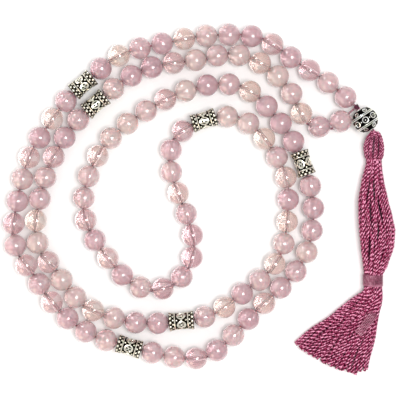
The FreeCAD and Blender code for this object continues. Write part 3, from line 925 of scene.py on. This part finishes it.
neckRoute = coilRoute(tassel["neckWrap"], tassel["neckTurns"], tassel["neckDepth"])
neckCoil = makeThreads("tasselNeckTurns", [neckRoute], tassel["neckThickness"])
finishPiece(neckCoil, "tassel", "tassel_thread", ["tassel_neck_wrap"], silkThread)
waistRoute = coilRoute(tassel["waistWrap"], tassel["waistTurns"], tassel["waistDepth"])
waistCoil = makeThreads("tasselWaistTurns", [waistRoute], tassel["waistThickness"])
finishPiece(waistCoil, "tassel", "tassel_thread", ["tassel_waist_wrap"], satinWrap)
print("tassel body threads:", len(bellyThreads.data.polygons), len(innerThreads.data.polygons))


# the fringe: threads that leave the waist together and fan out on the table, in millimetres
fringe = {
    "pivot": (60.1, -0.5), "strands": 82, "length": 35.2, "lengthSpread": (-0.9, 0.5),
    "start": 54.2, "section": 54.0, "halfSpread": 2.9, "crown": 2.5, "low": 0.6, "layers": 2.9, "rest": 0.62,
    "straight": 1.3, "settle": 3.6, "settleMore": 7, "fanFrom": 13.0, "fanTo": 54.0, "fanSpread": 2.2,
    "sway": 0.09, "swayWaves": 0.33, "bulge": 0.14, "bulgePlace": 3.5, "bulgeReach": 2.5,
    "fall": 15, "ripple": 0.12, "rippleWaves": 0.6, "phase": 6.3,
    "shareSpread": 0.012, "bunch": 0.010, "bunches": 9, "layerStep": 0.382, "corner": 0.12, "cornerCut": 2.2,
}


def fringeRoute(share, layer, length, phase, aside):
    # leaves the waist straight, then turns to its own place in the fan and settles on the table
    x = tassel["waistWrap"][2] + (1 - 2 * share) * fringe["halfSpread"]
    down = fringe["start"]
    _, _, _, high, rise = stationAt(belly, fringe["section"])
    crown = math.sqrt(max(0.0, 1 - (1 - 2 * share) ** 2)) * fringe["crown"]
    top = high + rise + tassel["restHeight"] + (layer - 0.5) * 2 * crown
    low = fringe["low"] + layer * fringe["layers"]
    fan = math.radians(fringe["fanFrom"] + (fringe["fanTo"] - fringe["fanFrom"]) * share + aside)
    settle = fringe["settle"] + fringe["settleMore"] * (1 - share)
    step = thread["step"] / mm
    route = []
    travelled = 0.0
    while travelled < length:
        turned = smoothStep(clamped((travelled - fringe["straight"]) / settle))
        sway = fringe["sway"] * math.sin(travelled * fringe["swayWaves"] + phase) * turned
        beyond = (travelled - fringe["bulgePlace"]) / fringe["bulgeReach"]
        bulge = fringe["bulge"] * math.exp(-beyond ** 2) * (1 - share)
        heading = fan * turned + sway - bulge
        x -= math.sin(heading) * step
        down += math.cos(heading) * step
        travelled += step
        fallen = smoothStep(min(1.0, travelled / fringe["fall"]))
        ripple = fringe["ripple"] * math.sin(travelled * fringe["rippleWaves"] + 2 * phase) * fallen
        height = max(top + (low - top) * fallen + ripple, fringe["rest"])
        route.append(Vector((pivot.x / mm + x, pivot.y / mm - down, height)) * mm)
    return route


fringeSets = ([], [])
count = fringe["strands"]
for k in range(count):
    share = (k + 0.5) / count + draw.uniform(-fringe["shareSpread"], fringe["shareSpread"])
    bunch = fringe["bunch"] * math.sin(share * 2 * math.pi * fringe["bunches"])
    layer = (k * fringe["layerStep"]) % 1.0
    cut = fringe["cornerCut"] * max(0.0, fringe["corner"] - share) / fringe["corner"]
    length = fringe["length"] + draw.uniform(*fringe["lengthSpread"]) - cut
    phase, aside = draw.uniform(0, fringe["phase"]), draw.uniform(-fringe["fanSpread"], fringe["fanSpread"])
    fringeSets[k % 2].append(fringeRoute(clamped(share + bunch), layer, length, phase, aside))
for name, routes, replaced in (("tasselFringeThreads_1", fringeSets[0], ["tassel_fringe"]),
                               ("tasselFringeThreads_2", fringeSets[1], [])):
    piece = makeThreads(name, routes)
    finishPiece(piece, None, "tassel_thread", replaced, silkThread)
    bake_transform(piece)

# the loose end of the waist wrap, laid flat on the fringe, in millimetres
tail = {
    "strands": 5, "spacing": 0.62, "across": (0.79, 0.61), "start": (65.3, 0.4), "end": (73.4, -5.8),
    "points": 30, "height": 4.5, "drop": 0.5, "arch": 0.5, "tuck": 1.2, "tuckShare": 0.15, "thickness": 0.6,
}
(startDown, startX), (endDown, endX) = tail["start"], tail["end"]
acrossX, acrossY = tail["across"]
tailRoutes = []
for k in range(tail["strands"]):
    aside = (k - (tail["strands"] - 1) / 2) * tail["spacing"]
    run = []
    for i in range(tail["points"]):
        share = i / (tail["points"] - 1)
        tucked = tail["tuck"] * max(0.0, tail["tuckShare"] - share) / tail["tuckShare"]
        arch = tail["arch"] * math.sin(math.pi * share) - tucked
        run.append(Vector((pivot.x / mm + startX + (endX - startX) * share + aside * acrossX,
                           pivot.y / mm - startDown - (endDown - startDown) * share - aside * acrossY,
                           tail["height"] - tail["drop"] * share + arch)) * mm)
    tailRoutes.append(run)
tailThreads = makeThreads("tasselWrapTail", tailRoutes, tail["thickness"])
finishPiece(tailThreads, "fringe", "tassel_thread", [], satinWrap)
print("fringe threads:", count)


# the cord, its closing knot and the loops that hold the tassel
stringing = nodes["stringing_cord"]
stringing.data.materials.clear()
stringing.data.materials.append(waxedCord)

knot = {
    "turns": 3.2, "turnSteps": 22, "radius": 0.66 * mm, "thickness": 0.5, "length": 1.3 * mm,
    "pairBack": 4.9 * mm, "pairPoints": 46, "pairSpread": 0.42 * mm, "pairThickness": 0.74,
    "ballRadius": 0.72 * mm, "ballGrowth": 0.05 * mm, "ballSteps": 26,
}
knotLow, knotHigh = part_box("strand_knot")
knotCentre = (knotLow + knotHigh) / 2
across = up.cross(guruAxis).normalized()
route = []
total = int(knot["turns"] * knot["turnSteps"])
for i in range(total + 1):
    angle = 2 * math.pi * i / knot["turnSteps"]
    forward = (i / total - 0.5) * knot["length"]
    route.append(knotCentre + guruAxis * forward
                 + (across * math.cos(angle) + up * math.sin(angle)) * knot["radius"])
knotCoil = makeThreads("strandKnotTurns", [route], knot["thickness"])
# the knot takes the dark colour that is painted as shade in the cores
finishPiece(knotCoil, "strand", "tassel_thread", ["strand_knot"], paintedShadeThread)

# the doubled thread through the guru bead, ending in a round knot of three loops
reach = (pivot - guruCentre).length
pair = []
for sign in (-1, 1):
    run = []
    for i in range(knot["pairPoints"]):
        forward = -knot["pairBack"] + (reach + knot["pairBack"]) * i / (knot["pairPoints"] - 1)
        run.append(guruCentre + guruAxis * forward + across * sign * knot["pairSpread"])
    pair.append(run)
ball = []
for lap, (first, second) in enumerate(((up, guruAxis), (guruAxis, across), (across, up))):
    for i in range(knot["ballSteps"] + 1):
        angle = 2 * math.pi * i / knot["ballSteps"]
        radius = knot["ballRadius"] + knot["ballGrowth"] * lap
        ball.append(pivot + (first * math.cos(angle) + second * math.sin(angle)) * radius)
guruThreads = makeThreads("guruThreadPair", pair + [ball], knot["pairThickness"])
finishPiece(guruThreads, "strand", "tassel_thread", ["guru_thread"], silkThread)

# the loop that goes round that knot, in millimetres and degrees
hanger = {"knotRadius": 1.2, "gap": 0.1, "threadRadius": 0.35, "heading": -91, "span": 184, "points": 40,
          "thickness": 0.6}
loopRadius = hanger["knotRadius"] + hanger["gap"] + hanger["threadRadius"]
loop = []
for i in range(hanger["points"]):
    angle = math.radians(hanger["heading"] + hanger["span"] * (i / (hanger["points"] - 1) - 0.5))
    loop.append(pivot + Vector((math.cos(angle), math.sin(angle), 0)) * loopRadius * mm)
hangerLoop = makeThreads("tasselHangerLoop", [loop], hanger["thickness"])
finishPiece(hangerLoop, "hanger", "tassel_thread", ["tassel_hanger"], satinWrap)
bpy.data.objects.remove(plyProfile)
print("cord, knots and loops are made")
